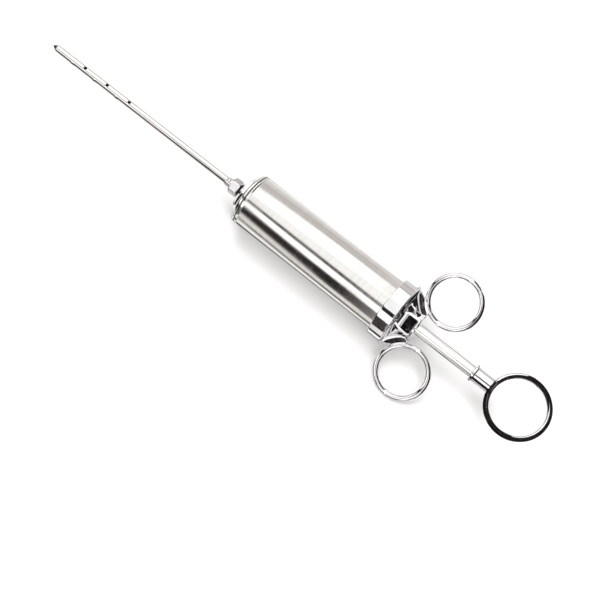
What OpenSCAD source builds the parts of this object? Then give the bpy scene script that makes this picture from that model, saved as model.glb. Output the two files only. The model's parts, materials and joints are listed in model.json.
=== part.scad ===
// Syringe-style meat injector in stainless steel, in millimetres.
// The barrel's axis is X, with the needle towards +X and the thumb ring towards -X.
// Z is up as it lies on a table: the screw cap and one finger ring touch the table,
// so the finger rings' plane leans about X, and the thumb ring lies level.
// The origin is on the axis, midway along the barrel's plain outside wall.

/* [Barrel] */
// Outside diameter of the barrel tube
barrel_d = 32; // [30:0.5:34]
// Wall thickness of the barrel tube
barrel_wall = 0.9; // [0.7:0.05:1.2]
// Length of the plain wall between the grip cap and the front shoulder
barrel_len = 98; // [80:1:120]
// Radius of the rounded front shoulder
shoulder_r = 3.2; // [2.4:0.1:4]
// Length of thread at the rear of the barrel, hidden by the grip cap
barrel_thread_len = 6.4; // [5:0.1:7]
// Depth of the rolled thread below the barrel's outside
thread_drop = 0.2; // [0.1:0.05:0.3]

/* [Needle] */
// Outside diameter of the needle tube
needle_d = 4.5; // [4:0.1:5]
// Wall thickness of the needle tube
needle_wall = 0.6; // [0.4:0.05:0.9]
// Length of needle that shows in front of its ferrule
needle_len = 132.8; // [110:0.2:160]
// Length of the cone on the closed needle point
cone_len = 3.4; // [2:0.1:8]
// Diameter of the marinade holes
hole_d = 2; // [1:0.1:2.4]
// Distance from the point to the first hole
first_hole = 16.5; // [12:0.5:24]
// Distance from one hole to the next, each turned a quarter turn from the last
hole_step = 8.5; // [6:0.5:10]
// Number of cross-drilled through holes
hole_count = 6; // [2:1:8]
// Angle that the needle and its hub are screwed round to
needle_turn = 9; // [-45:1:45]

/* [Needle fitting] */
// Hub size across its corners
hub_corners = 10.5; // [10:0.1:12]
// Length of the hexagonal hub
hub_len = 6.5; // [6:0.1:9]
// Length of the ferrule in front of the hub
ferrule_len = 4; // [3:0.1:6]
// Size of the eight-sided adapter flange across its corners
flange_corners = 23; // [20:0.1:24]
// Thickness of the adapter flange
flange_t = 3.8; // [3:0.1:5]
// Angle that the adapter flange is screwed round to
flange_turn = -16; // [-22:1:22]
// Thickness of the rubber washer behind the hub
washer_t = 1.5; // [1:0.1:2]

/* [Grip cap] */
// Outside diameter of the screw cap
cap_d = 37; // [36:0.5:40]
// Length of the screw cap
cap_len = 9.3; // [9:0.1:12]
// Length of the neck from the cap's rear face to the end of its collar
neck_len = 12; // [9:0.5:16]
// Diameter of the collar that ends the neck
collar_d = 16.2; // [15:0.1:18]
// Distance from the barrel axis to each finger ring's centre
finger_out = 24.6; // [24:0.1:28]
// Distance from the cap's rear face to the finger rings' centres
finger_back = 19.7; // [18:0.1:22]
// Radius of a finger ring along the middle of its wire
finger_r = 15; // [14:0.1:15.5]
// Diameter of the finger rings' wire
finger_wire = 3.1; // [2.8:0.1:3.6]

/* [Plunger] */
// Diameter of the plunger rod
rod_d = 6.6; // [5.6:0.1:7]
// Length of rod between the grip cap's rear face and the thumb ring's collar
rod_show = 50.8; // [40:0.1:70]
// Length of the piston
piston_len = 11.5; // [10:0.5:16]
// Radius of the thumb ring along the middle of its wire
thumb_r = 17.7; // [15:0.1:20]
// Diameter of the thumb ring's wire
thumb_wire = 3.4; // [3:0.1:4]
// Diameter of the shank that joins the thumb ring to the rod
shank_d = 8.8; // [8:0.1:9.5]
// Length of the shank in front of the thumb ring's wire
shank_len = 10; // [8:0.1:14]

/* [Hidden] */
$fn = 96;

// Running clearance between parts that turn or slide on each other
slip = 0.05;
// Extra length given to a cutting tool, so that no face is shared
over = 1;
// Chamfer on small turned edges
edge = 0.4;

// Barrel and its welded front end
barrel_r = barrel_d / 2;
bore_r = barrel_r - barrel_wall;
thread_r = barrel_r - thread_drop;
barrel_front = barrel_len / 2;
barrel_back = -barrel_len / 2;
barrel_rim = barrel_back - barrel_thread_len;
end_face = barrel_front + shoulder_r;
plug_depth = 1.2;
plug_face = barrel_front - plug_depth;

// Needle adapter: eight-sided flange, rear thread and front spigot
adapter_thread_r = 7;
adapter_thread_len = shoulder_r + plug_depth - edge;
adapter_bore_r = 1.9;
spigot_r = 3.4;
spigot_len = 5.2;
seal_groove_r = 9;
seal_groove_t = 1;
flange_face = end_face + flange_t;

// Needle hub, ferrule and tube, which is turned down where it is brazed in
needle_r = needle_d / 2;
braze_step = 0.2;
braze_r = needle_r - braze_step;
needle_bore_r = needle_r - needle_wall;
hub_back = flange_face + washer_t;
hub_front = hub_back + hub_len;
spigot_gap = 1;
hub_bore_len = spigot_len - washer_t + spigot_gap;
socket_len = hub_len - hub_bore_len;
ferrule_front = hub_front + ferrule_len;
ferrule_r = 3.1;
ferrule_step_r = 2.7;
ferrule_ring_t = 1;
needle_tip = ferrule_front + needle_len;
cone_back = needle_tip - cone_len;
point_plug_len = 4;
tip_blunt_r = 0.25;

// Grip cap: screw cap, faceted neck, round collar and two finger rings
cap_r = cap_d / 2;
cap_back = barrel_back - cap_len;
cap_seal_t = 1;
cap_seal_lip = 2.4;
cap_floor = barrel_rim - cap_seal_t;
collar_back = cap_back - neck_len;
collar_t = 1.3;
neck_slice = 0.2;
neck_top = 6.6;
neck_flat = 5.2;
neck_side = 2;
neck_wide = 13;
neck_narrow = 7.6;
web_t = 2.6;
web_root = 1;
web_step = 2;
web_tail = 2;
finger_x = cap_back - finger_back;
rest_lean = asin((cap_r - finger_wire / 2) / (finger_out + finger_r));
guide_r = rod_d / 2 + slip;

// Plunger: piston on a journal at the rod's front end, held by a screw and washers
piston_gap = 0.6;
piston_face = plug_face - piston_gap;
piston_back = piston_face - piston_len;
piston_slack = 0.2;
piston_r = bore_r - piston_slack;
seal_r = bore_r - slip;
groove_w = 2.4;
groove_r = 12.8;
groove_land = 1.6;
front_groove = piston_face - groove_land - groove_w;
rear_groove = piston_back + groove_land;
journal_r = 2.4;
washer_r = 5.6;
thin_washer_t = 0.8;
recess_r = 6;
screw_head_r = 3.6;
screw_head_t = 2;
screw_r = 1.25;
screw_len = 9;
recess_depth = thin_washer_t + screw_head_t + edge;
journal_front = piston_face - recess_depth + slip;
shoulder_x = piston_back - thin_washer_t - slip;

// Thumb ring, its shank and the collar in front of it
thumb_collar_front = cap_back - rod_show;
thumb_collar_t = 1.7;
thumb_collar_r = 5.1;
thumb_collar_back = thumb_collar_front - thumb_collar_t;
thumb_x = thumb_collar_back - shank_len - thumb_r - thumb_wire / 2;
rod_tail_len = 7;
rod_tail = thumb_collar_back - rod_tail_len;
rod_tail_r = 2.6;

// Solid of revolution about the X axis from [radius, x] points
module turned(points) {
    rotate([0, 90, 0])
        rotate_extrude()
            polygon(points);
}

// Cylinder along X from one x to another
module rod_between(x0, x1, r) {
    translate([x0, 0, 0])
        rotate([0, 90, 0])
            cylinder(h = x1 - x0, r = r);
}

// Round-wire ring lying in the XY plane
module wire_ring(x, y, r, wire) {
    translate([x, y, 0])
        rotate_extrude()
            translate([r, 0])
                circle(d = wire);
}

// Flat ring about the X axis
module flat_ring(x0, x1, inner_r, outer_r) {
    difference() {
        rod_between(x0, x1, outer_r);
        rod_between(x0 - over, x1 + over, inner_r);
    }
}

// Closed needle point, with a plug that is brazed into the tube
module needle_point() {
    color("silver")
        turned([[0, cone_back - point_plug_len], [needle_bore_r, cone_back - point_plug_len],
                [needle_bore_r, cone_back], [needle_r, cone_back],
                [tip_blunt_r, needle_tip], [0, needle_tip]]);
}

// Needle tube with cross-drilled holes, each a quarter turn from the last
module needle_tube() {
    color("silver")
        difference() {
            union() {
                flat_ring(hub_front - socket_len, ferrule_front, needle_bore_r, braze_r);
                flat_ring(ferrule_front, cone_back, needle_bore_r, needle_r);
            }
            for (i = [0 : hole_count - 1])
                translate([needle_tip - first_hole - i * hole_step, 0, 0])
                    rotate([needle_turn + 90 * (i + 1), 0, 0])
                        cylinder(h = 2 * needle_d, d = hole_d, center = true);
        }
}

// Stepped sleeve that backs the needle where it leaves the hub
module needle_ferrule() {
    color("gainsboro")
        turned([[braze_r, hub_front], [ferrule_r, hub_front],
                [ferrule_r, hub_front + ferrule_len / 2],
                [ferrule_step_r, hub_front + ferrule_len / 2 + edge],
                [ferrule_step_r, ferrule_front - ferrule_ring_t],
                [ferrule_r - edge / 2, ferrule_front - ferrule_ring_t],
                [ferrule_step_r, ferrule_front], [braze_r, ferrule_front]]);
}

// Hexagonal hub that screws onto the adapter's spigot
module needle_hub() {
    hub_r = hub_corners / 2;
    color("lightgray")
        difference() {
            intersection() {
                translate([hub_back, 0, 0])
                    rotate([needle_turn, 0, 0])
                        rotate([0, 90, 0])
                            cylinder(h = hub_len, r = hub_r, $fn = 6);
                turned([[0, hub_back], [hub_r, hub_back], [hub_r, hub_front - 2 * edge],
                        [hub_r - 2 * edge, hub_front], [0, hub_front]]);
            }
            rod_between(hub_back - over, hub_back + hub_bore_len, spigot_r + slip);
            rod_between(hub_back, hub_front + over, braze_r);
        }
}

// Black rubber washer between the hub and the adapter flange
module needle_washer() {
    color("dimgray")
        flat_ring(flange_face, hub_back, spigot_r, hub_corners / 2 - edge);
}

// Adapter: eight-sided flange, thread into the barrel end and spigot for the hub
module tip_adapter() {
    flange_r = flange_corners / 2;
    color("silver")
        difference() {
            union() {
                intersection() {
                    translate([end_face, 0, 0])
                        rotate([flange_turn, 0, 0])
                            rotate([0, 90, 0])
                                cylinder(h = flange_t, r = flange_r, $fn = 8);
                    turned([[0, end_face], [flange_r - edge, end_face], [flange_r, end_face + edge],
                            [flange_r, flange_face - 2 * edge], [flange_r - 2 * edge, flange_face],
                            [0, flange_face]]);
                }
                rod_between(end_face - adapter_thread_len, end_face, adapter_thread_r);
                rod_between(flange_face, flange_face + spigot_len, spigot_r);
            }
            rod_between(end_face - 2 * adapter_thread_len, flange_face + spigot_len + over,
                        adapter_bore_r);
        }
}

// Sealing ring under the adapter flange
module adapter_seal() {
    color("dimgray")
        flat_ring(end_face - seal_groove_t, end_face, adapter_thread_r, seal_groove_r);
}

// Turned front end of the barrel, with its rounded shoulder and threaded hole
module barrel_end() {
    color("silver")
        difference() {
            rotate([0, 90, 0])
                rotate_extrude()
                    union() {
                        translate([0, plug_face])
                            square([bore_r, plug_depth]);
                        translate([0, barrel_front])
                            square([barrel_r - shoulder_r, shoulder_r]);
                        intersection() {
                            translate([barrel_r - shoulder_r, barrel_front])
                                circle(r = shoulder_r);
                            translate([0, barrel_front])
                                square([barrel_r, shoulder_r]);
                        }
                    }
            rod_between(plug_face - over, end_face + over, adapter_thread_r);
            rod_between(end_face - seal_groove_t, end_face + over, seal_groove_r);
        }
}

// Drawn barrel tube, plain outside and threaded under the grip cap
module barrel() {
    color("lightsteelblue")
        difference() {
            union() {
                rod_between(barrel_rim, barrel_back, thread_r);
                rod_between(barrel_back, barrel_front, barrel_r);
            }
            rod_between(barrel_rim - over, barrel_front + over, bore_r);
        }
}

// Flat seal between the barrel's rear rim and the cap
module cap_seal() {
    color("dimgray")
        flat_ring(cap_floor, barrel_rim, thread_r - cap_seal_lip, thread_r);
}

// Outline of the neck across the axis, for a given half width
module neck_section(x, half_w) {
    translate([x, 0, 0])
        rotate([90, 0, 90])
            linear_extrude(neck_slice)
                polygon([[-neck_flat, neck_top], [neck_flat, neck_top],
                         [half_w, neck_side], [half_w, -neck_side],
                         [neck_flat, -neck_top], [-neck_flat, -neck_top],
                         [-half_w, -neck_side], [-half_w, neck_side]]);
}

// Thin webs that tie each finger ring to the cap and the neck
module finger_web() {
    difference() {
        translate([0, 0, -web_t / 2])
            linear_extrude(web_t)
                polygon([[cap_back + web_root, cap_r - 2 * edge],
                         [cap_back + web_root, -cap_r + 2 * edge],
                         [cap_back - web_step, -cap_r + edge], [finger_x, -collar_d / 2 - edge],
                         [collar_back + collar_t, -web_tail], [collar_back + collar_t, web_tail],
                         [finger_x, collar_d / 2 + edge], [cap_back - web_step, cap_r - edge]]);
        for (side = [-1, 1])
            translate([finger_x, side * finger_out, -web_t])
                cylinder(h = 2 * web_t, r = finger_r);
    }
}

// Grip cap: one casting of screw cap, neck, collar and two finger rings
module grip_cap() {
    color("silver")
        difference() {
            union() {
                turned([[0, cap_back], [cap_r - 2 * edge, cap_back], [cap_r, cap_back + 2 * edge],
                        [cap_r, barrel_back - edge], [cap_r - edge, barrel_back], [0, barrel_back]]);
                rod_between(collar_back, collar_back + collar_t, collar_d / 2);
                rotate([-rest_lean, 0, 0]) {
                    hull() {
                        neck_section(cap_back, neck_wide);
                        neck_section(collar_back + collar_t - neck_slice, neck_narrow);
                    }
                    finger_web();
                    for (side = [-1, 1])
                        wire_ring(finger_x, side * finger_out, finger_r, finger_wire);
                }
            }
            rod_between(cap_floor, barrel_back + over, thread_r + slip);
            rod_between(collar_back - over, cap_floor + over, guide_r);
        }
}

// Piston body with two ring grooves, free to turn on the rod's journal
module piston_body() {
    color("ivory")
        difference() {
            rod_between(piston_back, piston_face, piston_r);
            flat_ring(front_groove, front_groove + groove_w, groove_r, bore_r);
            flat_ring(rear_groove, rear_groove + groove_w, groove_r, bore_r);
            rod_between(piston_face - recess_depth, piston_face + over, recess_r);
            rod_between(piston_back - over, piston_face, journal_r + slip);
        }
}

// Sealing ring in a piston groove
module piston_ring(x) {
    ring_r = (seal_r - groove_r) / 2;
    translate([x + groove_w / 2, 0, 0])
        rotate([0, 90, 0])
            rotate_extrude()
                translate([groove_r + ring_r, 0])
                    circle(r = ring_r);
}

// Sealing ring nearer the needle
module front_o_ring() {
    color("dimgray")
        piston_ring(front_groove);
}

// Sealing ring nearer the thumb ring
module rear_o_ring() {
    color("dimgray")
        piston_ring(rear_groove);
}

// Washer under the piston screw's head
module front_washer() {
    color("gainsboro")
        flat_ring(journal_front, journal_front + thin_washer_t, screw_r, washer_r);
}

// Thrust washer between the rod's shoulder and the piston
module rear_washer() {
    color("gainsboro")
        flat_ring(shoulder_x, shoulder_x + thin_washer_t, journal_r, washer_r);
}

// Screw that holds the piston on the rod
module piston_screw() {
    head_back = journal_front + thin_washer_t;
    color("lightgray")
        difference() {
            union() {
                rod_between(head_back - screw_len, head_back, screw_r);
                rod_between(head_back, head_back + screw_head_t, screw_head_r);
            }
            for (turn = [0, 90])
                rotate([turn, 0, 0])
                    translate([head_back + screw_head_t / 2, -screw_head_r / 2, -edge])
                        cube([screw_head_t, screw_head_r, 2 * edge]);
        }
}

// Plunger rod, with a journal for the piston and a threaded tail for the thumb ring
module plunger_rod() {
    color("lightgray")
        difference() {
            union() {
                rod_between(shoulder_x, journal_front, journal_r);
                rod_between(thumb_collar_front, shoulder_x, rod_d / 2);
                rod_between(rod_tail, thumb_collar_front, rod_tail_r);
            }
            rod_between(journal_front + thin_washer_t - screw_len, journal_front + over, screw_r);
        }
}

// Round collar locked against the thumb ring's shank
module thumb_collar() {
    color("silver")
        difference() {
            turned([[0, thumb_collar_back], [thumb_collar_r, thumb_collar_back],
                    [thumb_collar_r, thumb_collar_front - edge],
                    [thumb_collar_r - edge, thumb_collar_front], [0, thumb_collar_front]]);
            rod_between(thumb_collar_back - over, thumb_collar_front + over, rod_tail_r);
        }
}

// Thumb ring with the shank that screws onto the rod's tail
module thumb_ring() {
    color("silver")
        difference() {
            union() {
                wire_ring(thumb_x, 0, thumb_r, thumb_wire);
                turned([[0, thumb_x + thumb_r], [shank_d / 2 - 2 * edge, thumb_x + thumb_r],
                        [shank_d / 2, thumb_x + thumb_r + thumb_wire / 2],
                        [shank_d / 2, thumb_collar_back - edge],
                        [shank_d / 2 - edge, thumb_collar_back], [0, thumb_collar_back]]);
            }
            rod_between(rod_tail, thumb_collar_back + over, rod_tail_r);
        }
}

needle_point();
needle_tube();
needle_ferrule();
needle_hub();
needle_washer();
tip_adapter();
adapter_seal();
barrel_end();
barrel();
cap_seal();
grip_cap();
piston_body();
front_o_ring();
rear_o_ring();
front_washer();
rear_washer();
piston_screw();
plunger_rod();
thumb_collar();
thumb_ring();
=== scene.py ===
"""Looks of a syringe-style meat injector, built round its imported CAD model.

Shapes are in millimetres until mesh_piece() turns them into metres. Shader nodes, the backdrop
and the lamps use metres.
"""

import json
import math

import bpy
import numpy as np
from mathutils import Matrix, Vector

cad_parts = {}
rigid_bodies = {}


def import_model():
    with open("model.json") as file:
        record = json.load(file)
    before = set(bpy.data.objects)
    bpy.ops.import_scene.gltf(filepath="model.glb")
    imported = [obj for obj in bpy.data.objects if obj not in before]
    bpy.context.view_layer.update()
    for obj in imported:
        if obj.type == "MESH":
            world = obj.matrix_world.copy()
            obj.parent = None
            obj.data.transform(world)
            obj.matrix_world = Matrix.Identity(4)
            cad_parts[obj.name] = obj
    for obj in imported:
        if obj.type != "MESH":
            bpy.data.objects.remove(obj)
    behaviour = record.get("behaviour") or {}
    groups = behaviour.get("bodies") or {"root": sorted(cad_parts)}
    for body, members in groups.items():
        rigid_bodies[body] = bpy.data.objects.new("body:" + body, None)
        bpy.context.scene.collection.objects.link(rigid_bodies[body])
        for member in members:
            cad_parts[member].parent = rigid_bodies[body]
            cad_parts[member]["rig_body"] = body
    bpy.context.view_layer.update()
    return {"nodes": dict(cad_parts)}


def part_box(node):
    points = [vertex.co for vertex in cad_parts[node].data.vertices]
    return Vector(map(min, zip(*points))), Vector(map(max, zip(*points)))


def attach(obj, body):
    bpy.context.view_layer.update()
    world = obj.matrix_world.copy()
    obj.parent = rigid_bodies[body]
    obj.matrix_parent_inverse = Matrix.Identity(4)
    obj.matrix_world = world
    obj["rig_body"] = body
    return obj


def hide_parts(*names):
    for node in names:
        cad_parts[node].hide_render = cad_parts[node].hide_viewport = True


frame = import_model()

import openvdb
from mathutils import Matrix, Vector

MM = 0.001
TURN = 2 * math.pi
SLIP = 0.05


def span(node):
    """First x, last x and outside radius of a CAD node, in millimetres."""
    low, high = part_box(node)
    return low.x / MM, high.x / MM, (high.z - low.z) / 2 / MM


# Sizes that the frame gives. For each node they are its first x, last x and outside radius.
barrel_rim, barrel_front, barrel_r = span("barrel")
plug_face, end_face, _ = span("barrel_end")
adapter_back, spigot_front, _ = span("tip_adapter")
washer_back, hub_back, washer_r = span("needle_washer")
_, hub_front, _ = span("needle_hub")
_, ferrule_front, ferrule_r = span("needle_ferrule")
needle_back, cone_back, needle_r = span("needle_tube")
plug_back, needle_tip, _ = span("needle_point")
seal_back, _, seal_r = span("cap_seal")
cap_tail, cap_front, cap_r = span("grip_cap")
rod_tail, rod_front, rod_r = span("plunger_rod")
collar_back, collar_front, collar_r = span("thumb_collar")
piston_back, piston_face, piston_r = span("piston_body")
thumb_tail, _, _ = span("thumb_ring")

# Sizes that no box shows. SLIP is the running room in a bore or a thread.
BARREL_WALL = 0.9
THREAD_DROP = 0.2
THREAD_DEPTH = 0.42
CAP_PITCH = 1.5
NEEDLE_PITCH = 1.0
ADAPTER_THREAD_R = 7.0
TURNED_LINE_BACK = 1.5
TURNED_LINE_DEPTH = 0.15
SEAM_W = 0.55
SEAM_DEPTH = 0.6
SEAL_GROOVE_R = 9.0
SEAL_GROOVE_T = 1.0
FLANGE_CORNER_R = 11.5
FLANGE_TURN = math.radians(16)
SPIGOT_R = 3.4
ADAPTER_BORE_R = 1.9
HUB_CORNER_R = 5.25
HUB_TURN = math.radians(-9)
HUB_BORE_LEN = 4.7
FERRULE_GROOVES = (1.4, 3.0)
FERRULE_GROOVE_HALF = 0.5
FERRULE_GROOVE_DEPTH = 0.6
BRAZE_R = needle_r - 0.2
NEEDLE_BORE_R = needle_r - 0.6
HOLE_R = 1.0
HOLE_LIP = 0.06
HOLE_STEP = 8.5
HOLE_COUNT = 6
FIRST_HOLE = 16.5
CAP_END = 1.9
CAP_SEAL_W = 2.4
NECK_LEN = 12.0
NECK_COLLAR_R = 8.1
NECK_COLLAR_T = 1.3
NECK_TOP = 6.6
NECK_FLAT = 5.6
NECK_FILLET = 4.2
NECK_FLARE = 9.0
NECK_FLARE_LEN = 9.5
NECK_NARROW = 7.4
WEB_HALF = 1.3
FINGER_R = 15.0
FINGER_WIRE_R = 1.55
THUMB_R = 17.7
THUMB_WIRE_R = 1.7
SHANK_R = 4.4
ROD_TAIL_R = 2.6
JOURNAL_R = 2.4
JOURNAL_STEP = 0.85
ROD_WASHER_R = 5.6
ROD_WASHER_T = 0.8
SCREW_R = 1.25
SCREW_LEN = 9.0
SCREW_HEAD_R = 3.6
SCREW_HEAD_T = 2.0
SCREW_HOLE_R = 1.3
SCREW_HOLE_LEN = 8.2
RING_GROOVE_R = 12.8
RING_GROOVE_HALF = 1.2
RECESS_R = 6.0
RECESS_LEN = 3.2

# The finger rings lean about the barrel's axis, and the grip cap's box gives the angle.
cap_high_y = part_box("grip_cap")[1].y / MM
ring_rise = cap_r - FINGER_WIRE_R
ring_run = cap_high_y - FINGER_WIRE_R
LEAN = math.atan2(ring_rise, ring_run)
finger_out = math.hypot(ring_rise, ring_run) - FINGER_R
finger_x = cap_tail + FINGER_R + FINGER_WIRE_R
cap_back = seal_back - CAP_END
neck_back = cap_back - NECK_LEN
thumb_x = thumb_tail + THUMB_R + THUMB_WIRE_R
bore_r = barrel_r - BARREL_WALL
thread_r = barrel_r - THREAD_DROP
turned_line = barrel_front - TURNED_LINE_BACK
flange_face = washer_back


# ---------------------------------------------------------------- meshes

def mesh_piece(node, points, faces, material, normals=None):
    """Makes a smooth piece that stands for a CAD node and rides on its body.

    The points are in millimetres. The mesh is in metres.
    """
    mesh = bpy.data.meshes.new(node + "_visual")
    mesh.from_pydata((np.asarray(points, float) * MM).tolist(), [], faces)
    mesh.validate()
    mesh.polygons.foreach_set("use_smooth", [True] * len(mesh.polygons))
    if normals is not None:
        mesh.normals_split_custom_set_from_vertices(normals.tolist())
    mesh.materials.append(material)
    piece = bpy.data.objects.new(node + "_visual", mesh)
    bpy.context.scene.collection.objects.link(piece)
    body = frame["nodes"][node]["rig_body"]
    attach(piece, body)
    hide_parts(node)
    return piece


def rounded(corners, support=0.15, arc_step=math.radians(15)):
    """Closed outline through (x, r, fillet) corners, with an arc in place of each filleted corner.

    A support point beside each arc keeps the flat stretches flat when they are shaded smooth.
    """
    outline = []
    count = len(corners)
    for i, (x, r, fillet) in enumerate(corners):
        here = Vector((x, r))
        before = Vector(corners[i - 1][:2]) - here
        after = Vector(corners[(i + 1) % count][:2]) - here
        if fillet == 0:
            outline.append((x, r))
            continue
        bend = before.angle(after)
        cut = fillet / math.tan(bend / 2)
        toward_before, toward_after = before.normalized(), after.normalized()
        start, end = here + toward_before * cut, here + toward_after * cut
        centre = here + (toward_before + toward_after).normalized() * fillet / math.sin(bend / 2)
        sweep = math.pi - bend
        steps = max(2, math.ceil(sweep / arc_step))
        if before.length > cut + 2 * support:
            outline.append(tuple(start + toward_before * support))
        first, last = start - centre, end - centre
        for k in range(steps + 1):
            share = k / steps
            spoke = first * math.sin((1 - share) * sweep) + last * math.sin(share * sweep)
            outline.append(tuple(centre + spoke / math.sin(sweep)))
        if after.length > cut + 2 * support:
            outline.append(tuple(end + toward_after * support))
    return outline


def lathe(node, outline, material, segments=128, thread=None):
    """Turns a closed (x, r) outline about the X axis. thread(x, angle, r) may change the radius."""
    points, rings = [], []
    angles = [TURN * k / segments for k in range(segments)]
    for x, r in outline:
        if r < 1e-6:
            rings.append([len(points)] * segments)
            points.append((x, 0.0, 0.0))
            continue
        rings.append(list(range(len(points), len(points) + segments)))
        for angle in angles:
            radius = thread(x, angle, r) if thread else r
            points.append((x, radius * math.sin(angle), radius * math.cos(angle)))
    faces = []
    for i, ring in enumerate(rings):
        following = rings[(i + 1) % len(rings)]
        if ring[0] == ring[-1] and following[0] == following[-1]:
            continue
        for k in range(segments):
            j = (k + 1) % segments
            corners = [ring[k], ring[j], following[j], following[k]]
            faces.append(list(dict.fromkeys(corners)))
    return mesh_piece(node, points, outward(points, faces), material)


def outward(points, faces):
    """The same faces, all turned over if they face inward."""
    where = np.asarray(points, float)
    first = where[[f[0] for f in faces]]
    second = where[[f[1] for f in faces]]
    third = where[[f[2] for f in faces]]
    fourth = where[[f[-1] for f in faces]]
    volume = np.einsum("ij,ij->", first, np.cross(second, third))
    volume += np.einsum("ij,ij->", first, np.cross(third, fourth))
    return faces if volume > 0 else [f[::-1] for f in faces]


def gradient(field, points, step=0.01):
    """Slope of a field at each point, by central differences."""
    slope = np.zeros_like(points)
    for axis in range(3):
        shift = np.zeros(3)
        shift[axis] = step
        ahead, behind = (points + shift).T, (points - shift).T
        slope[:, axis] = (field(*ahead) - field(*behind)) / (2 * step)
    return slope


def cast(node, field, axes, material):
    """Meshes the surface where field(x, y, z) is zero, on a grid with the given coordinates.

    The points are then moved onto the exact surface, and the shading follows the field's slope.
    """
    x, y, z = (np.asarray(axis, float) for axis in axes)
    values = field(x[:, None, None], y[None, :, None], z[None, None, :])
    grid = openvdb.FloatGrid(1.0)
    grid.copyFromArray(np.ascontiguousarray(np.clip(values, -1, 1), dtype=np.float32))
    places, quads = grid.convertToQuads(0.0)
    points = np.stack([np.interp(places[:, i], np.arange(len(axis)), axis)
                       for i, axis in enumerate((x, y, z))], axis=1)
    for _ in range(4):
        slope = gradient(field, points)
        steepness = np.maximum((slope ** 2).sum(1), 0.05)
        move = field(*points.T) / steepness
        points -= slope * np.clip(move, -0.1, 0.1)[:, None]
    slope = gradient(field, points)
    normals = slope / np.maximum(np.linalg.norm(slope, axis=1), 1e-6)[:, None]
    faces = outward(points, quads.tolist())
    return mesh_piece(node, points, faces, material, normals)


def grid_axis(low, high, step, margin=3):
    """Evenly spaced coordinates that run a few steps past both ends."""
    count = math.ceil((high - low) / step) + 2 * margin
    return low - margin * step + step * np.arange(count + 1)


# ---------------------------------------------------------------- fields

def smooth_max(a, b, blend):
    """The larger of two fields, with the edge between them rounded."""
    mix = np.clip(0.5 - 0.5 * (b - a) / blend, 0, 1)
    return b + (a - b) * mix + blend * mix * (1 - mix)


def smooth_min(a, b, blend):
    """The smaller of two fields, with the corner between them filled."""
    return -smooth_max(-a, -b, blend)


def disc(x, rho, x0, x1, radius, edge):
    """Round disc or rod about the X axis, with its edges rounded."""
    out_x = np.abs(x - (x0 + x1) / 2) - (x1 - x0) / 2 + edge
    out_r = rho - radius + edge
    outside = np.hypot(np.maximum(out_x, 0), np.maximum(out_r, 0))
    return outside + np.minimum(np.maximum(out_x, out_r), 0) - edge


def prism(y, z, sides, corner_r, turn, edge):
    """Regular prism along X. A flat faces halfway between corners, and turn swings it towards +Y."""
    apothem = corner_r * math.cos(math.pi / sides)
    field = None
    for k in range(sides):
        angle = turn + TURN * (k + 0.5) / sides
        side = y * math.sin(angle) + z * math.cos(angle) - apothem
        field = side if field is None else smooth_max(field, side, edge)
    return field


def thread_wave(x, angle, pitch):
    """0 at a thread's crest and 1 at its root, for a one-start thread about X."""
    return 0.5 - 0.5 * np.cos(TURN * (x / pitch) - angle)


def fade(x, x0, x1, run):
    """1 between x0 and x1, and 0 outside, with a smooth run at each end."""
    rise = np.clip((x - x0) / run, 0, 1)
    fall = np.clip((x1 - x) / run, 0, 1)
    return rise * rise * (3 - 2 * rise) * fall * fall * (3 - 2 * fall)


def grip_cap_field(x, y, z):
    """Screw cap, flared neck, collar, webs and finger rings, as one casting."""
    rho = np.hypot(y, z)
    across = np.abs(y * math.cos(LEAN) - z * math.sin(LEAN))
    above = np.abs(y * math.sin(LEAN) + z * math.cos(LEAN))
    cup = disc(x, rho, cap_back, cap_front, cap_r, 0.7)

    run = np.clip(1 - (cap_back - x) / NECK_FLARE_LEN, 0, 1.15)
    foot = NECK_NARROW + NECK_FLARE * run ** 1.5
    lean_in = (foot - NECK_FLAT) / (NECK_TOP - WEB_HALF)
    taper = 1.5 * NECK_FLARE * np.sqrt(run) / NECK_FLARE_LEN
    flank = across - NECK_FLAT - lean_in * (NECK_TOP - above)
    flank = flank / np.sqrt(1 + lean_in ** 2 + (0.5 * taper) ** 2)
    near = np.clip(NECK_FILLET - (cap_back - x), 0, NECK_FILLET)
    top = NECK_TOP + NECK_FILLET - np.sqrt(NECK_FILLET ** 2 - near ** 2)
    neck = smooth_max(flank, above - top, 0.9)
    neck = np.maximum(neck, neck_back + 0.5 - x)
    neck = np.maximum(neck, x - cap_back - 1)

    collar = disc(x, rho, neck_back, neck_back + NECK_COLLAR_T, NECK_COLLAR_R, 0.45)
    to_ring = np.hypot(x - finger_x, across - finger_out)
    ring = np.hypot(to_ring - FINGER_R, above) - FINGER_WIRE_R

    slope = (cap_r - NECK_COLLAR_R - 0.8) / (cap_back - 2 - finger_x)
    beyond = (across - cap_r + 0.4 - slope * (x - cap_back + 2)) / math.hypot(1, slope)
    web = np.maximum(smooth_max(beyond, across - cap_r + 0.6, 0.8), FINGER_R - to_ring)
    web = np.maximum(web, np.maximum(x - cap_back - 1, neck_back + 0.2 - x))
    web = smooth_max(web, above - WEB_HALF, 0.3)

    body = smooth_min(cup, neck, 1.6)
    body = smooth_min(body, collar, 0.7)
    body = smooth_min(body, web, 0.9)
    body = smooth_min(body, ring, 0.7)

    angle = np.arctan2(y, z)
    groove = 1 - thread_wave(x, angle, CAP_PITCH)
    cut = 0.8 * THREAD_DEPTH * groove * fade(x, seal_back, cap_front - 0.6, 0.8)
    socket = np.maximum(rho - thread_r - SLIP - cut, seal_back - x)
    body = smooth_max(body, -socket, 0.3)
    return smooth_max(body, SLIP + rod_r - rho, 0.3)


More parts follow.
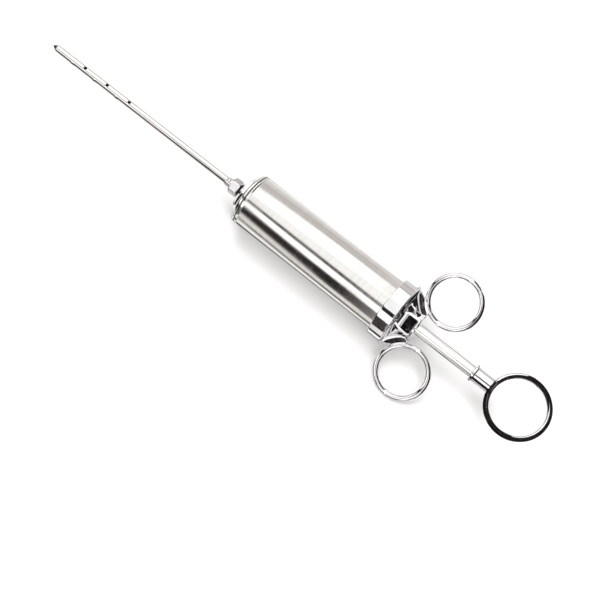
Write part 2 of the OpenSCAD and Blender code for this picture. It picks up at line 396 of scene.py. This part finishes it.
def thumb_ring_field(x, y, z):
    """Wire ring blended into its shank, with the hole for the rod's tail."""
    rho = np.hypot(y, z)
    ring = np.hypot(np.hypot(x - thumb_x, y) - THUMB_R, z) - THUMB_WIRE_R
    shank = disc(x, rho, thumb_x + THUMB_R - 0.6, collar_back, SHANK_R, 0.5)
    body = smooth_min(ring, shank, 0.9)
    hole = np.maximum(rho - ROD_TAIL_R, rod_tail - x)
    return smooth_max(body, -hole, 0.1)


def hub_field(x, y, z):
    """Hexagonal hub with chamfered corners, a threaded bore and a brazing bore.

    Each chamfer is a cone, and the factor after it turns its field into a distance.
    """
    rho = np.hypot(y, z)
    flats = prism(y, z, 6, HUB_CORNER_R, HUB_TURN, 0.12)
    chamfer = (rho - HUB_CORNER_R + 0.1 + 0.58 * np.maximum(x - hub_front + 1.0, 0)) * 0.87
    back_chamfer = (rho - HUB_CORNER_R + 0.1 + np.maximum(hub_back + 1.5 - x, 0)) * 0.71
    body = smooth_max(flats, np.maximum(chamfer, back_chamfer), 0.15)
    body = smooth_max(body, x - hub_front, 0.25)
    body = smooth_max(body, hub_back - x, 0.25)
    cut = 0.3 * thread_wave(x, np.arctan2(y, z), NEEDLE_PITCH)
    bore = np.maximum(rho - SPIGOT_R - SLIP - cut, x - hub_back - HUB_BORE_LEN)
    body = smooth_max(body, -bore, 0.15)
    return np.maximum(body, BRAZE_R - rho)


def adapter_field(x, y, z):
    """Eight-sided flange with a thread into the barrel end, a threaded spigot and a bore.

    The chamfers are cones, as on the hub.
    """
    rho = np.hypot(y, z)
    angle = np.arctan2(y, z)
    flats = prism(y, z, 8, FLANGE_CORNER_R, FLANGE_TURN, 0.12)
    chamfer = (rho - FLANGE_CORNER_R + 1.5 * np.maximum(x - flange_face + 2.1, 0)) * 0.55
    back_chamfer = (rho - FLANGE_CORNER_R + 0.5 * np.maximum(end_face + 0.4 - x, 0)) * 0.89
    flange = smooth_max(flats, np.maximum(chamfer, back_chamfer), 0.15)
    flange = smooth_max(flange, x - flange_face, 0.25)
    flange = smooth_max(flange, end_face - x, 0.2)
    root = 0.4 * thread_wave(x, angle, NEEDLE_PITCH)
    rear_cut = root * fade(x, adapter_back, end_face, 0.5)
    rear = np.maximum(rho - ADAPTER_THREAD_R + rear_cut, adapter_back - x)
    rear = np.maximum(rear, x - end_face - 1)
    front_cut = root * fade(x, flange_face + 1.2, spigot_front + 0.6, 0.5)
    front = smooth_max(rho - SPIGOT_R + front_cut, x - spigot_front, 0.4)
    front = np.maximum(front, flange_face - 1 - x)
    body = np.minimum(smooth_min(flange, front, 0.2), rear)
    return smooth_max(body, ADAPTER_BORE_R - rho, 0.2)


def needle_tube_field(x, y, z):
    """Tube with cross holes, each a quarter turn on from the last and with a slight punched lip."""
    rho = np.hypot(y, z)
    outside = rho - np.where(x < ferrule_front, BRAZE_R, needle_r)
    holes = np.full_like(rho, 9.0)
    for i in range(HOLE_COUNT):
        turn = HUB_TURN - math.pi / 2 * (i + 1)
        aside = y * math.cos(turn) - z * math.sin(turn)
        hole = np.hypot(x - (needle_tip - FIRST_HOLE - i * HOLE_STEP), aside) - HOLE_R
        holes = np.minimum(holes, hole)
    outside = outside - HOLE_LIP * np.exp(-((holes - 0.2) / 0.3) ** 2)
    tube = np.maximum(outside, NEEDLE_BORE_R - rho)
    tube = np.maximum(tube, np.maximum(needle_back - x, x - cone_back))
    return smooth_max(tube, -holes, 0.15)


def screw_field(x, y, z):
    """Pan-head screw with a cross recess."""
    rho = np.hypot(y, z)
    head_back = rod_front + ROD_WASHER_T
    head = disc(x, rho, head_back, head_back + SCREW_HEAD_T, SCREW_HEAD_R, 0.6)
    cut = 0.2 * thread_wave(x, np.arctan2(y, z), 0.5)
    ends = np.maximum(head_back - SCREW_LEN - x, x - head_back - 0.5)
    shaft = np.maximum(rho - SCREW_R + cut, ends)
    body = np.minimum(head, shaft)
    blade = np.maximum(np.minimum(np.abs(y), np.abs(z)) - 0.35, rho - 1.9)
    cross = np.maximum(blade, head_back + 1.0 - x)
    return smooth_max(body, -cross, 0.15)


# ---------------------------------------------------------------- materials

class Shader:
    """A material's or the world's node tree, with short calls for the nodes used here."""

    def __init__(self, tree):
        self.tree = tree

    def add(self, kind, inputs=None, **settings):
        """A new node. inputs gives a value or another node's socket by input name or number."""
        made = self.tree.nodes.new(kind)
        for key, value in settings.items():
            setattr(made, key, value)
        for key, value in (inputs or {}).items():
            self.feed(value, made.inputs[key])
        return made

    def feed(self, value, socket):
        if isinstance(value, bpy.types.NodeSocket):
            self.tree.links.new(value, socket)
        else:
            socket.default_value = value

    def math(self, operation, a, b=0.0):
        return self.add("ShaderNodeMath", {0: a, 1: b}, operation=operation).outputs[0]

    def remap(self, value, from_low, from_high, to_low, to_high):
        """A value moved from one range to another, smoothly and held at the ends."""
        inputs = {"Value": value, "From Min": from_low, "From Max": from_high,
                  "To Min": to_low, "To Max": to_high}
        made = self.add("ShaderNodeMapRange", inputs, interpolation_type="SMOOTHSTEP")
        return made.outputs["Result"]

    def noise(self, coordinates, stretch, detail=3.0, roughness=0.5):
        """Noise whose grain size along each axis is 1 / stretch, in metres."""
        moved = self.add("ShaderNodeMapping", {"Vector": coordinates, "Scale": stretch})
        inputs = {"Vector": moved.outputs["Vector"], "Scale": 1.0,
                  "Detail": detail, "Roughness": roughness}
        return self.add("ShaderNodeTexNoise", inputs).outputs["Fac"]

    def blend(self, factor, a, b):
        """Colour a where the factor is 0 and b where it is 1. They are the node's inputs 6 and 7."""
        made = self.add("ShaderNodeMix", {"Factor": factor, 6: a, 7: b}, data_type="RGBA")
        return made.outputs[2]

    def from_axis(self, coordinates):
        """Distance from the X axis."""
        parts = self.add("ShaderNodeSeparateXYZ", {"Vector": coordinates})
        y, z = parts.outputs["Y"], parts.outputs["Z"]
        across = self.math("ADD", self.math("MULTIPLY", y, y), self.math("MULTIPLY", z, z))
        return self.math("SQRT", across)

    def bump(self, height, distance, strength=1.0):
        inputs = {"Height": height, "Distance": distance, "Strength": strength}
        return self.add("ShaderNodeBump", inputs).outputs["Normal"]


def new_material(name):
    """An empty material, its node tree and the object's own coordinates."""
    material = bpy.data.materials.new(name)
    material.use_nodes = True
    material.node_tree.nodes.clear()
    shader = Shader(material.node_tree)
    coordinates = shader.add("ShaderNodeTexCoord").outputs["Object"]
    return material, shader, coordinates


def finish_material(shader, inputs):
    """Adds the surface that everything else feeds."""
    surface = shader.add("ShaderNodeBsdfPrincipled", inputs)
    shader.add("ShaderNodeOutputMaterial", {"Surface": surface.outputs["BSDF"]})


def brushed_steel(name, lines, roughness, anisotropy, tones, depth, inside=0.0, bright_from=None):
    """Steel with fine lines. lines gives the grain along X and across it, in lines per metre.

    Nearer the X axis than inside, in mm, it is a tube's bore: dull, and painted near black as the shade
    in it.
    Forward of bright_from, in mm, it is polished.
    """
    material, shader, place = new_material(name)
    fine = shader.noise(place, (lines[0], lines[1], lines[1]), detail=4.0, roughness=0.65)
    broad = shader.noise(place, (lines[0] / 14, lines[1] * 0.7, lines[1] * 0.7), detail=2.0)
    smudge = shader.noise(place, (45.0, 60.0, 60.0), detail=3.0)
    tone = shader.math("ADD", shader.math("MULTIPLY", fine, 0.45),
                       shader.math("MULTIPLY", broad, 0.55))
    colour = shader.blend(shader.remap(tone, 0.3, 0.7, 0.0, 1.0), tones[0], tones[1])
    rough = shader.math("ADD", shader.remap(fine, 0.3, 0.7, roughness - 0.04, roughness + 0.04),
                        shader.remap(smudge, 0.35, 0.75, 0.0, 0.05))
    tangent = shader.add("ShaderNodeTangent", direction_type="RADIAL", axis="X").outputs["Tangent"]
    if bright_from is not None:
        along = shader.add("ShaderNodeSeparateXYZ", {"Vector": place}).outputs["X"]
        start = bright_from * MM
        end = start + 0.2 * MM
        rough = shader.math("MULTIPLY", rough, shader.remap(along, start, end, 1.0, 0.3))
        fine = shader.math("MULTIPLY", fine, shader.remap(along, start, end, 1.0, 0.0))
    outside_bore_shade = 1.0
    # Painted shade: inside the bore the colour is near black and not metal, standing in for the shade in
    # the tube.
    if inside:
        outside_bore_shade = shader.remap(shader.from_axis(place), (inside - 0.1) * MM, inside * MM, 0.0, 1.0)
        colour = shader.blend(outside_bore_shade, (0.01, 0.009, 0.009, 1.0), colour)
        rough = shader.math("ADD", rough, shader.remap(outside_bore_shade, 0.0, 1.0, 0.5, 0.0))
    finish_material(shader, {
        "Base Color": colour, "Metallic": outside_bore_shade, "Roughness": rough,
        "Anisotropic": anisotropy, "Anisotropic Rotation": 0.25 if lines[0] > lines[1] else 0.0,
        "Tangent": tangent, "Normal": shader.bump(fine, depth)})
    return material


def bright_metal(name, tone, roughness, ripple, groove=None, wear=0.04):
    """Polished or plated metal with slight casting ripple, faint cloudiness and dull spots.

    groove gives a radius and an x, in mm. Inside that radius and behind that x it is dull, and painted
    near black as the shade in the groove.
    wear is the roughness that the dullest spots add.
    """
    material, shader, place = new_material(name)
    wave = shader.noise(place, (230.0, 230.0, 230.0), detail=2.0)
    cloud = shader.noise(place, (70.0, 70.0, 70.0), detail=4.0)
    fine = shader.noise(place, (2600.0, 2600.0, 2600.0), detail=2.0)
    dull = tuple(0.9 * c for c in tone[:3]) + (1.0,)
    colour = shader.blend(shader.remap(cloud, 0.35, 0.7, 0.0, 1.0), tone, dull)
    rough = shader.math("ADD", shader.remap(cloud, 0.4, 0.75, roughness, roughness + 0.75 * wear),
                        shader.remap(fine, 0.55, 0.8, 0.0, wear))
    if groove is not None:
        along = shader.add("ShaderNodeSeparateXYZ", {"Vector": place}).outputs["X"]
        radius, front = groove[0] * MM, groove[1] * MM
        behind = shader.remap(along, front, front + 0.02 * MM, 1.0, 0.0)
        within = shader.remap(shader.from_axis(place), radius - 0.05 * MM, radius, 1.0, 0.0)
        # Painted shade in the seam groove: a near black colour, with added roughness.
        painted_groove_shade = shader.math("MULTIPLY", behind, within)
        colour = shader.blend(painted_groove_shade, colour, (0.008, 0.007, 0.007, 1.0))
        rough = shader.math("ADD", rough, shader.math("MULTIPLY", painted_groove_shade, 0.5))
    finish_material(shader, {"Base Color": colour, "Metallic": 1.0, "Roughness": rough,
                             "Normal": shader.bump(wave, ripple)})
    return material


def rubber(name):
    """Black rubber with a fine grain and a faint bloom."""
    material, shader, place = new_material(name)
    grain = shader.noise(place, (4000.0, 4000.0, 4000.0), detail=3.0)
    bloom = shader.noise(place, (300.0, 300.0, 300.0), detail=3.0)
    colour = shader.blend(shader.remap(bloom, 0.4, 0.75, 0.0, 1.0),
                          (0.008, 0.008, 0.008, 1.0), (0.02, 0.02, 0.021, 1.0))
    finish_material(shader, {"Base Color": colour, "Roughness": shader.remap(grain, 0.3, 0.7, 0.45, 0.6),
                             "Specular IOR Level": 0.2, "Normal": shader.bump(grain, 0.00002)})
    return material


def turned_plastic(name):
    """Machined acetal, with the fine rings that turning leaves."""
    material, shader, place = new_material(name)
    rings = shader.noise(place, (6000.0, 120.0, 120.0), detail=2.0)
    colour = shader.blend(rings, (0.80, 0.80, 0.76, 1.0), (0.88, 0.88, 0.85, 1.0))
    finish_material(shader, {"Base Color": colour, "Roughness": shader.remap(rings, 0.3, 0.7, 0.32, 0.45),
                             "Subsurface Weight": 0.08, "Subsurface Scale": 0.001,
                             "Normal": shader.bump(rings, 0.00001)})
    return material


barrel_steel = brushed_steel("barrel_steel", (9000.0, 70.0), 0.20, 0.75,
                             ((0.86, 0.85, 0.83, 1.0), (0.93, 0.92, 0.90, 1.0)), 0.000004,
                             bright_from=turned_line)
rod_steel = brushed_steel("rod_steel", (40.0, 2600.0), 0.14, 0.3,
                          ((0.90, 0.89, 0.88, 1.0), (0.94, 0.93, 0.92, 1.0)), 0.0000005)
# The needle's bore, inside the given radius, is painted dark as shade.
needle_steel = brushed_steel("needle_steel", (60.0, 5000.0), 0.09, 0.2,
                             ((0.88, 0.87, 0.86, 1.0), (0.94, 0.93, 0.92, 1.0)), 0.000001,
                             inside=needle_r - 0.12)
polished = bright_metal("polished_steel", (0.93, 0.92, 0.91, 1.0), 0.07, 0.000010)
# The end's seam groove is painted dark as shade.
end_steel = bright_metal("end_steel", (0.93, 0.92, 0.91, 1.0), 0.07, 0.000010,
                         groove=(barrel_r - 0.08, barrel_front + SEAM_W + 0.02))
machined_chrome = bright_metal("machined_chrome", (0.93, 0.93, 0.94, 1.0), 0.02, 0.000002,
                               wear=0.02)
chrome = bright_metal("chrome_plate", (0.93, 0.93, 0.94, 1.0), 0.03, 0.000025)
black_rubber = rubber("black_rubber")
acetal = turned_plastic("white_acetal")


# ---------------------------------------------------------------- pieces

def band(x0, x1, inner_r, outer_r, edge):
    """Corners of a plain ring."""
    return [(x0, inner_r, edge), (x0, outer_r, edge), (x1, outer_r, edge), (x1, inner_r, edge)]


def barrel_thread(x, angle, r):
    """Rolled thread at the barrel's rear, which leaves the bore plain."""
    if r < bore_r + 0.3 or x > cap_front - 0.1:
        return r
    reach = float(fade(np.float64(x), barrel_rim, cap_front - 0.2, 0.7))
    return r - THREAD_DEPTH * reach * float(thread_wave(x, angle, CAP_PITCH))


def make_barrel():
    """Tube with a rolled thread at its rear and a turned line near its front edge."""
    stations = np.arange(barrel_rim + 0.3, cap_front - 0.05, 0.1)
    thread = [(float(x), thread_r, 0) for x in stations]
    corners = [(barrel_rim, bore_r, 0.15), (barrel_rim, thread_r, 0.15), *thread,
               (cap_front, thread_r, 0), (cap_front, barrel_r, 0.15),
               (turned_line - TURNED_LINE_DEPTH, barrel_r, 0),
               (turned_line, barrel_r - TURNED_LINE_DEPTH, 0),
               (turned_line + TURNED_LINE_DEPTH, barrel_r, 0),
               (barrel_front, barrel_r, 0.12), (barrel_front, bore_r, 0)]
    lathe("barrel", rounded(corners), barrel_steel, 256, barrel_thread)


def make_barrel_end():
    """Closed front end, with a narrow seam groove against the barrel and a rounded shoulder."""
    seam = barrel_front + SEAM_W
    corners = [(plug_face, ADAPTER_THREAD_R, 0.2), (plug_face, bore_r - 0.02, 0.2),
               (barrel_front, bore_r - 0.02, 0), (barrel_front, barrel_r - SEAM_DEPTH, 0),
               (seam, barrel_r - SEAM_DEPTH, 0), (seam, barrel_r, 0.08),
               (end_face, barrel_r, end_face - seam - 0.2), (end_face, SEAL_GROOVE_R, 0.15),
               (end_face - SEAL_GROOVE_T, SEAL_GROOVE_R, 0),
               (end_face - SEAL_GROOVE_T, ADAPTER_THREAD_R, 0.15)]
    lathe("barrel_end", rounded(corners, arc_step=math.radians(6)), end_steel, 256)


def make_ferrule():
    """Sleeve with two turned grooves."""
    corners = [(hub_front, BRAZE_R, 0), (hub_front, ferrule_r, 0.1)]
    for distance in FERRULE_GROOVES:
        groove = hub_front + distance
        corners += [(groove - FERRULE_GROOVE_HALF, ferrule_r - 0.05, 0.05),
                    (groove, ferrule_r - FERRULE_GROOVE_DEPTH, 0.08),
                    (groove + FERRULE_GROOVE_HALF, ferrule_r - 0.1, 0.05)]
    corners += [(ferrule_front, ferrule_r - 0.3, 0.2), (ferrule_front, BRAZE_R, 0)]
    lathe("needle_ferrule", rounded(corners, 0.05), polished, 320)


def make_needle():
    """Perforated tube and its closed point."""
    first = needle_tip - FIRST_HOLE - (HOLE_COUNT - 1) * HOLE_STEP - 2
    along = [np.arange(needle_back - 0.6, ferrule_front + 0.6, 0.2),
             np.arange(ferrule_front + 1.0, first, 1.5), np.arange(first, cone_back + 0.8, 0.2)]
    across = grid_axis(-needle_r, needle_r, 0.14)
    cast("needle_tube", needle_tube_field, (np.concatenate(along), across, across),
         needle_steel)
    corners = [(plug_back, 0, 0), (plug_back, NEEDLE_BORE_R, 0.2), (cone_back, NEEDLE_BORE_R, 0),
               (cone_back, needle_r, 0.12), (needle_tip, 0.25, 0.2), (needle_tip, 0, 0)]
    lathe("needle_point", rounded(corners, 0.08), needle_steel, 96)


def make_fittings():
    """Hub, adapter, washer and the adapter's seal."""
    across = grid_axis(-HUB_CORNER_R, HUB_CORNER_R, 0.12)
    cast("needle_hub", hub_field, (grid_axis(hub_back, hub_front, 0.12), across, across),
         machined_chrome)
    across = grid_axis(-FLANGE_CORNER_R, FLANGE_CORNER_R, 0.17)
    cast("tip_adapter", adapter_field, (grid_axis(adapter_back, spigot_front, 0.17), across, across),
         machined_chrome)
    lathe("needle_washer", rounded(band(washer_back, hub_back, SPIGOT_R, washer_r, 0.35)),
          black_rubber)
    groove = band(end_face - SEAL_GROOVE_T, end_face, ADAPTER_THREAD_R, SEAL_GROOVE_R, 0.3)
    lathe("adapter_seal", rounded(groove), black_rubber)


def make_grip():
    """Grip cap and its flat seal."""
    step = 0.33
    axes = (grid_axis(cap_tail, cap_front, step), grid_axis(-cap_high_y, cap_high_y, step),
            grid_axis(-cap_r, cap_r, step))
    cast("grip_cap", grip_cap_field, axes, chrome)
    corners = band(seal_back, barrel_rim, seal_r - CAP_SEAL_W, seal_r, 0.25)
    lathe("cap_seal", rounded(corners), black_rubber)


def make_thumb_ring():
    """Thumb ring with its shank, and the collar in front of it."""
    step = 0.25
    axes = (grid_axis(thumb_tail, collar_back, step),
            grid_axis(-THUMB_R - THUMB_WIRE_R, THUMB_R + THUMB_WIRE_R, step),
            grid_axis(-SHANK_R, SHANK_R, step))
    cast("thumb_ring", thumb_ring_field, axes, machined_chrome)
    corners = [(collar_back, ROD_TAIL_R, 0.1), (collar_back, collar_r, 0.4),
               (collar_front, collar_r, 0.5), (collar_front, ROD_TAIL_R, 0.1)]
    lathe("thumb_collar", rounded(corners, 0.08), machined_chrome)


def make_plunger():
    """Rod, its two washers and the screw in its front end."""
    shoulder = piston_back - JOURNAL_STEP
    screw_hole = rod_front - SCREW_HOLE_LEN
    corners = [(rod_tail, 0, 0), (rod_tail, ROD_TAIL_R, 0.3), (collar_front, ROD_TAIL_R, 0),
               (collar_front, rod_r, 0.2), (shoulder, rod_r, 0.2), (shoulder, JOURNAL_R, 0),
               (rod_front, JOURNAL_R, 0.2), (rod_front, SCREW_HOLE_R, 0.1),
               (screw_hole, SCREW_HOLE_R, 0), (screw_hole, 0, 0)]
    lathe("plunger_rod", rounded(corners), rod_steel, 96)
    corners = band(shoulder, shoulder + ROD_WASHER_T, JOURNAL_R, ROD_WASHER_R, 0.15)
    lathe("rear_washer", rounded(corners), rod_steel, 96)
    corners = band(rod_front, rod_front + ROD_WASHER_T, SCREW_HOLE_R, ROD_WASHER_R, 0.15)
    lathe("front_washer", rounded(corners), rod_steel, 96)
    across = grid_axis(-SCREW_HEAD_R, SCREW_HEAD_R, 0.12)
    head_front = rod_front + ROD_WASHER_T + SCREW_HEAD_T
    axes = (grid_axis(screw_hole, head_front, 0.12), across, across)
    cast("piston_screw", screw_field, axes, polished)


def make_piston():
    """Piston with two ring grooves and a recess, and its O-rings."""
    corners = [(piston_back, JOURNAL_R + SLIP, 0.3), (piston_back, piston_r, 0.5)]
    for ring in ("rear_o_ring", "front_o_ring"):
        low, high, ring_r = span(ring)
        middle, wire = (low + high) / 2, (ring_r - RING_GROOVE_R) / 2
        back, front = middle - RING_GROOVE_HALF, middle + RING_GROOVE_HALF
        corners += [(back, piston_r, 0.2), (back, RING_GROOVE_R, 0.2),
                    (front, RING_GROOVE_R, 0.2), (front, piston_r, 0.2)]
        turns = [TURN * k / 32 for k in range(32)]
        circle = [(middle + wire * math.sin(turn), RING_GROOVE_R + wire - wire * math.cos(turn))
                  for turn in turns]
        lathe(ring, circle, black_rubber, 192)
    recess = piston_face - RECESS_LEN
    corners += [(piston_face, piston_r, 0.5), (piston_face, RECESS_R, 0.2),
                (recess, RECESS_R, 0.2), (recess, JOURNAL_R + SLIP, 0.2)]
    lathe("piston_body", rounded(corners), acetal, 192)


make_barrel()
make_barrel_end()
make_ferrule()
make_needle()
make_fittings()
make_grip()
make_thumb_ring()
make_plunger()
make_piston()


# ---------------------------------------------------------------- studio

CAMERA_PLACE = Vector((-121.3, 201.1, 696.4)) * MM
CAMERA_TARGET = Vector((-9.5, 28.7, 0.0)) * MM
CAMERA_UP = Vector((0.612, -0.739, 0.281))
LENS = 78.0
PALE = (0.86, 0.86, 0.86, 1.0)


def make_camera():
    """Camera above the near side, aimed close to the barrel's middle."""
    forward = (CAMERA_TARGET - CAMERA_PLACE).normalized()
    right = forward.cross(CAMERA_UP).normalized()
    up = right.cross(forward)
    camera = bpy.data.objects.new("camera", bpy.data.cameras.new("camera"))
    camera.data.lens = LENS
    camera.data.clip_start, camera.data.clip_end = 0.01, 20.0
    turn = Matrix((right, up, -forward)).transposed().to_4x4()
    camera.matrix_world = Matrix.Translation(CAMERA_PLACE) @ turn
    bpy.context.scene.collection.objects.link(camera)
    bpy.context.scene.camera = camera


def make_backdrop():
    """Pale floor that curves up into a round wall, in metres. It shows in no reflection."""
    floor_r, bend_r, wall_top, sides = 1.6, 0.5, 1.9, 96
    profile = [(0.0, 0.0), (floor_r / 3, 0.0), (floor_r, 0.0)]
    profile += [(floor_r + bend_r * math.sin(a), bend_r * (1 - math.cos(a)))
                for a in (math.pi / 2 * k / 10 for k in range(1, 11))]
    profile.append((floor_r + bend_r, wall_top))
    points, faces = [], []
    for r, height in profile:
        for k in range(sides):
            angle = TURN * k / sides
            points.append((r * math.cos(angle), r * math.sin(angle), height - cap_r * MM))
    for i in range(len(profile) - 1):
        for k in range(sides):
            j = (k + 1) % sides
            faces.append((i * sides + k, i * sides + j, (i + 1) * sides + j, (i + 1) * sides + k))
    mesh = bpy.data.meshes.new("backdrop")
    mesh.from_pydata(points, [], faces)
    mesh.polygons.foreach_set("use_smooth", [True] * len(mesh.polygons))
    material, shader, place = new_material("backdrop")
    paper = shader.noise(place, (900.0, 900.0, 900.0), detail=4.0)
    colour = shader.blend(paper, PALE, tuple(0.985 * c for c in PALE[:3]) + (1.0,))
    finish_material(shader, {"Base Color": colour, "Roughness": 0.8, "Specular IOR Level": 0.1})
    mesh.materials.append(material)
    backdrop = bpy.data.objects.new("backdrop", mesh)
    backdrop.visible_glossy = False
    bpy.context.scene.collection.objects.link(backdrop)


def make_lamp(name, place, size, power):
    """Soft square lamp, placed in metres, that points at the object and shows in no reflection."""
    lamp = bpy.data.lights.new(name, "AREA")
    lamp.shape, lamp.size, lamp.energy = "SQUARE", size, power
    light = bpy.data.objects.new(name, lamp)
    light.location = place
    light.rotation_mode = "QUATERNION"
    light.rotation_quaternion = (-Vector(place)).to_track_quat("-Z", "Y")
    light.visible_glossy = False
    light.visible_camera = False
    bpy.context.scene.collection.objects.link(light)


def make_dark_cards():
    """Dark cards above, behind and on both sides of the thumb ring.

    In front, only the +Y half is closed, and a low card runs on along the shank. Only reflections
    see the cards. They ride with the plunger, so that they don't darken its rod when it is out.
    """
    back, front, shank_front = thumb_tail - 100, collar_back - 10.7, collar_back + 2
    left, right, top, foot = 24, -80, 80, -cap_r
    corners = [(x, y, z) for x in (back, front) for y in (right, left) for z in (foot, top)]
    corners += [(front, 0, foot), (front, 0, top)]
    corners += [(x, left, z) for x in (front, shank_front) for z in (-8, 12)]
    faces = [(1, 3, 7, 5), (0, 1, 3, 2), (0, 1, 5, 4), (2, 3, 7, 6), (6, 7, 9, 8), (10, 11, 13, 12)]
    mesh = bpy.data.meshes.new("dark_cards")
    mesh.from_pydata([Vector(c) * MM for c in corners], [], faces)
    material, shader, place = new_material("dark_cards")
    cloth = shader.noise(place, (900.0, 900.0, 900.0))
    colour = shader.blend(cloth, (0.01, 0.01, 0.01, 1.0), (0.02, 0.017, 0.016, 1.0))
    finish_material(shader, {"Base Color": colour, "Roughness": 0.9, "Specular IOR Level": 0.0})
    mesh.materials.append(material)
    cards = bpy.data.objects.new("dark_cards", mesh)
    cards.visible_camera = cards.visible_diffuse = cards.visible_shadow = False
    bpy.context.scene.collection.objects.link(cards)
    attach(cards, "plunger")


# Brightness of the dark room between the panels
ROOM = 0.022

# What the metal reflects. Each panel spans two angles round the barrel's axis, in degrees from
# overhead and positive towards +Y, then two directions along X, from -1 for -X to 1 for +X.
# Its brightness and the softness of its edges, in degrees, come last. A later panel covers an
# earlier one. The camera is near, so each stretch of the metal reflects its own directions along X.
STUDIO_PANELS = [
    (-166, -124, -0.6, 0.95, 1.00, 8),  # pale table, far side
    (-126, -98, -0.6, 0.8, 0.75, 12),   # wall, far side
    (-98, -66, -0.6, 0.8, 0.60, 12),    # dimmer wall above it
    (-65, -8, -0.03, 0.95, 1.30, 3),    # overhead panel
    (-8, 26, -0.45, 0.95, 1.05, 4),     # its nearer part
    (0, 60, -0.75, -0.20, 0.95, 4),     # panel beyond the thumb ring
    (25, 40, 0.232, 0.250, 1.00, 3),    # slit between it and the strip panel
    (40, 67, -0.45, 0.95, 1.45, 3),     # strip panel, near side
    (108, 133, -0.6, 0.8, 0.85, 4),     # wall, near side
    (146, 172, -0.6, 0.95, 1.00, 4),    # pale table, near side
    (-190, -120, 0.55, 0.95, 1.00, 8),  # pale table beyond the needle
    (143, 190, 0.55, 0.95, 1.00, 8),    # the same, near side
    (67, 118, 0.030, 0.080, 1.10, 4),   # bright card along the rod, near side
    (-110, 40, 0.030, 0.062, 1.60, 4),  # bright card over the rod
    (-190, -114, 0.014, 0.070, 0.08, 4),  # dark card under the rod, far side
    (128, 190, 0.014, 0.070, 0.08, 4),  # the same, near side
    (17, 34, -0.020, 0.014, 0.01, 3),   # dark strip along the thumb ring's shank
    (34, 42, -0.020, 0.014, 1.10, 3),   # bright strip beside it
    (26, 40, 0.064, 0.090, 0.003, 2),   # dark card at the neck
    (65, 113, 0.245, 0.420, 0.003, 3),  # dark card along the needle
    (68, 106, 0.095, 0.2275, 0.055, 12),  # dark card along the barrel
    (52, 78, 0.2278, 0.290, 0.002, 3),  # dark card at the adapter
    (-110, -25, -0.88, -0.45, 1.10, 4),  # card behind the neck, far side
    (60, 105, -0.88, -0.35, 1.00, 4),   # the same, near side
]


def make_studio_light():
    """The light all round: bright panels overhead, a dark room beyond and a pale table below."""
    world = bpy.data.worlds.new("studio")
    bpy.context.scene.world = world
    world.use_nodes = True
    world.node_tree.nodes.clear()
    shader = Shader(world.node_tree)
    ray = shader.add("ShaderNodeTexCoord").outputs["Generated"]
    parts = shader.add("ShaderNodeSeparateXYZ", {"Vector": ray})
    along = parts.outputs["X"]
    radians = shader.math("ARCTAN2", parts.outputs["Y"], parts.outputs["Z"])
    angle = shader.math("MULTIPLY", radians, 360 / TURN)
    light = ROOM
    for first, last, back, front, brightness, soft in STUDIO_PANELS:
        inside = shader.remap(angle, first - soft / 2, first + soft / 2, 0.0, 1.0)
        edges = (shader.remap(angle, last - soft / 2, last + soft / 2, 1.0, 0.0),
                 shader.remap(along, back - 0.002, back + 0.002, 0.0, 1.0),
                 shader.remap(along, front - 0.002, front + 0.002, 1.0, 0.0))
        for edge in edges:
            inside = shader.math("MULTIPLY", inside, edge)
        step = shader.math("MULTIPLY", shader.math("SUBTRACT", brightness, light), inside)
        light = shader.math("ADD", light, step)
    warm = shader.blend(shader.remap(light, 0.0, 1.0, 0.0, 1.0),
                        (1.0, 0.86, 0.82, 1.0), (1.0, 0.99, 0.975, 1.0))
    background = shader.add("ShaderNodeBackground", {"Color": warm, "Strength": light})
    shader.add("ShaderNodeOutputWorld", {"Surface": background.outputs["Background"]})


make_camera()
make_backdrop()
make_dark_cards()
make_lamp("key_lamp", (0.35, -0.5, 1.3), 0.9, 14.0)
make_lamp("fill_lamp", (-0.6, 0.5, 1.3), 1.0, 7.0)
make_studio_light()
bpy.context.scene.view_settings.view_transform = "Standard"
